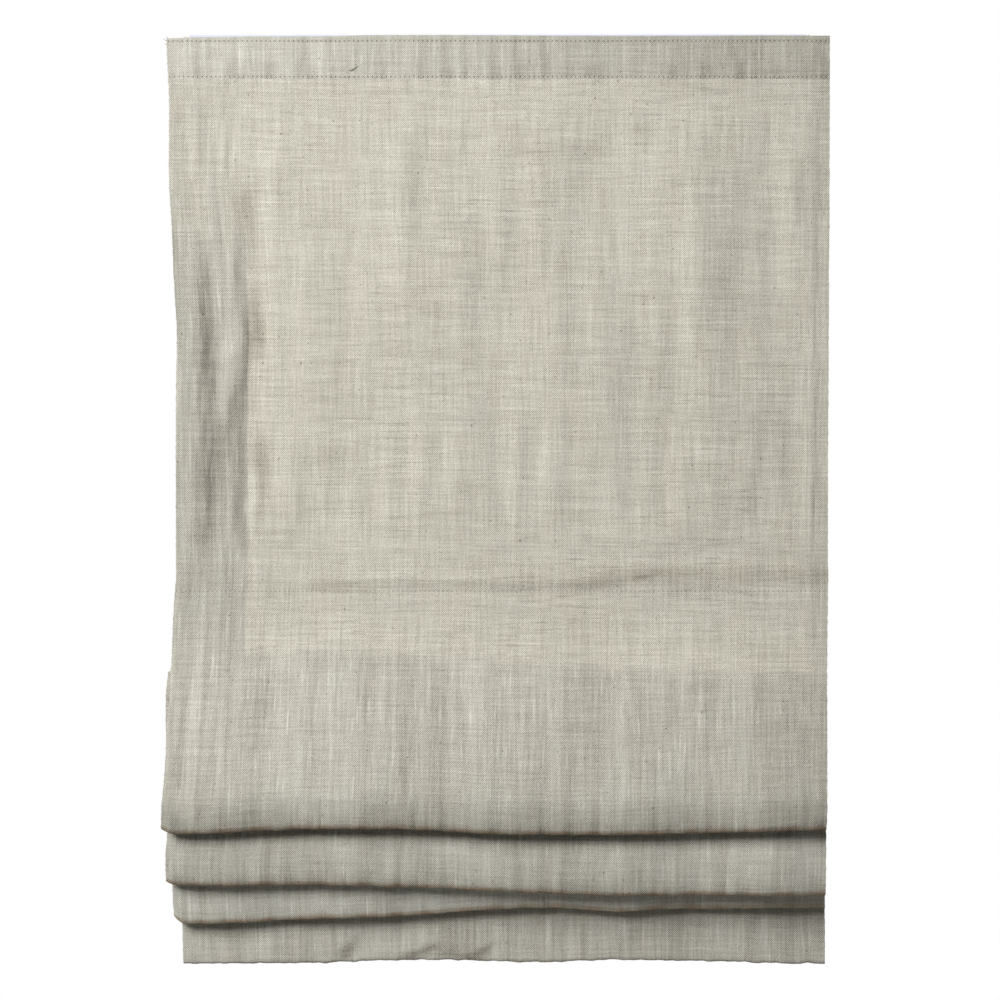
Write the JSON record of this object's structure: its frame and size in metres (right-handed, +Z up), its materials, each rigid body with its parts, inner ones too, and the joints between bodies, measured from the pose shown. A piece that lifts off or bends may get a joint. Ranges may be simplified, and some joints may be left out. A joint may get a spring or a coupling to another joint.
{
  "type": "roman blind",
  "caption": "Half-raised roman blind in natural woven cloth, falling in soft folds from a hidden white head rail with a spring-balanced cord lift.",
  "frame": {"origin": "on the wall plane, midway between the screw holes of the two wall brackets", "axes": "+X to the right as seen from the room, +Y into the wall, +Z up; the visible face looks along -Y"},
  "size_m": [0.47, 0.083, 0.659],
  "materials": {
    "rail": "satin",
    "white_plastic": "satin",
    "motor_plastic": "satin",
    "band_steel": "satin",
    "plated_steel": "satin",
    "shaft_steel": "satin",
    "fastening_tape": "matte",
    "cloth": "matte",
    "pocket_cloth": "matte",
    "rod_fibreglass": "satin",
    "ring_plastic": "gloss",
    "cord": "matte",
    "bar_aluminium": "satin"
  },
  "bodies": {
    "head": {"head_rail": "rail", "end_cap_left": "white_plastic", "end_cap_right": "white_plastic", "hook_tape": "fastening_tape", "loop_tape": "fastening_tape", "wall_bracket_left": "plated_steel", "wall_bracket_right": "plated_steel", "lever_rivet_left": "plated_steel", "lever_rivet_right": "plated_steel", "spool_cradle_left": "white_plastic", "spool_cradle_right": "white_plastic", "motor_housing": "motor_plastic", "motor_cover": "motor_plastic", "spring_band": "band_steel", "shade_cloth": "cloth", "lift_cord_left": "cord", "lift_cord_right": "cord"},
    "lift_shaft": {"drive_shaft": "shaft_steel", "cord_spool_left": "white_plastic", "cord_spool_right": "white_plastic", "shaft_collar_left": "white_plastic", "shaft_collar_right": "white_plastic", "output_drum": "motor_plastic"},
    "spring_store": {"storage_drum": "motor_plastic"},
    "lever_left": {"lock_lever_left": "white_plastic"},
    "lever_right": {"lock_lever_right": "white_plastic"},
    "rod_1": {"pocket_tape_1": "pocket_cloth", "stiffener_rod_1": "rod_fibreglass", "ring_1_left": "ring_plastic", "ring_1_right": "ring_plastic"},
    "rod_2": {"pocket_tape_2": "pocket_cloth", "stiffener_rod_2": "rod_fibreglass", "ring_2_left": "ring_plastic", "ring_2_right": "ring_plastic"},
    "rod_3": {"pocket_tape_3": "pocket_cloth", "stiffener_rod_3": "rod_fibreglass", "ring_3_left": "ring_plastic", "ring_3_right": "ring_plastic"},
    "rod_4": {"pocket_tape_4": "pocket_cloth", "stiffener_rod_4": "rod_fibreglass", "ring_4_left": "ring_plastic", "ring_4_right": "ring_plastic", "cord_orb_left": "white_plastic", "cord_orb_right": "white_plastic", "bottom_bar": "bar_aluminium", "bar_cap_left": "white_plastic", "bar_cap_right": "white_plastic"}
  },
  "joints": [
    {"name": "top_panel_lift", "type": "slide", "parent": "head", "child": "rod_1", "axis": [0, 0, 1], "range_m": [0, 0.342], "deforming": ["shade_cloth", "lift_cord_left", "lift_cord_right"]},
    {"name": "front_fold", "type": "slide", "parent": "rod_1", "child": "rod_2", "axis": [0, 0, 1], "range_m": [-0.236, 0.045]},
    {"name": "second_fold", "type": "slide", "parent": "rod_2", "child": "rod_3", "axis": [0, 0, 1], "range_m": [-0.281, 0]},
    {"name": "third_fold", "type": "slide", "parent": "rod_3", "child": "rod_4", "axis": [0, 0, 1], "range_m": [-0.281, 0]},
    {"name": "shaft_turn", "type": "hinge", "parent": "head", "child": "lift_shaft", "pos_m": [0, -0.0326, 0], "axis": [1, 0, 0], "range_deg": [-260, 1360]},
    {"name": "store_turn", "type": "hinge", "parent": "head", "child": "spring_store", "pos_m": [0.062, -0.0136, 0], "axis": [1, 0, 0], "range_deg": [-2013, 386]},
    {"name": "lever_left_turn", "type": "hinge", "parent": "head", "child": "lever_left", "pos_m": [-0.19, -0.017, -0.0128], "axis": [0, 0, -1], "range_deg": [0, 90]},
    {"name": "lever_right_turn", "type": "hinge", "parent": "head", "child": "lever_right", "pos_m": [0.19, -0.017, -0.0128], "axis": [0, 0, 1], "range_deg": [0, 90]}
  ],
  "couplings": [
    {"joint": "shaft_turn", "follows": "front_fold", "rad_per_m": -100.5},
    {"joint": "store_turn", "follows": "front_fold", "rad_per_m": 148.74}
  ]
}
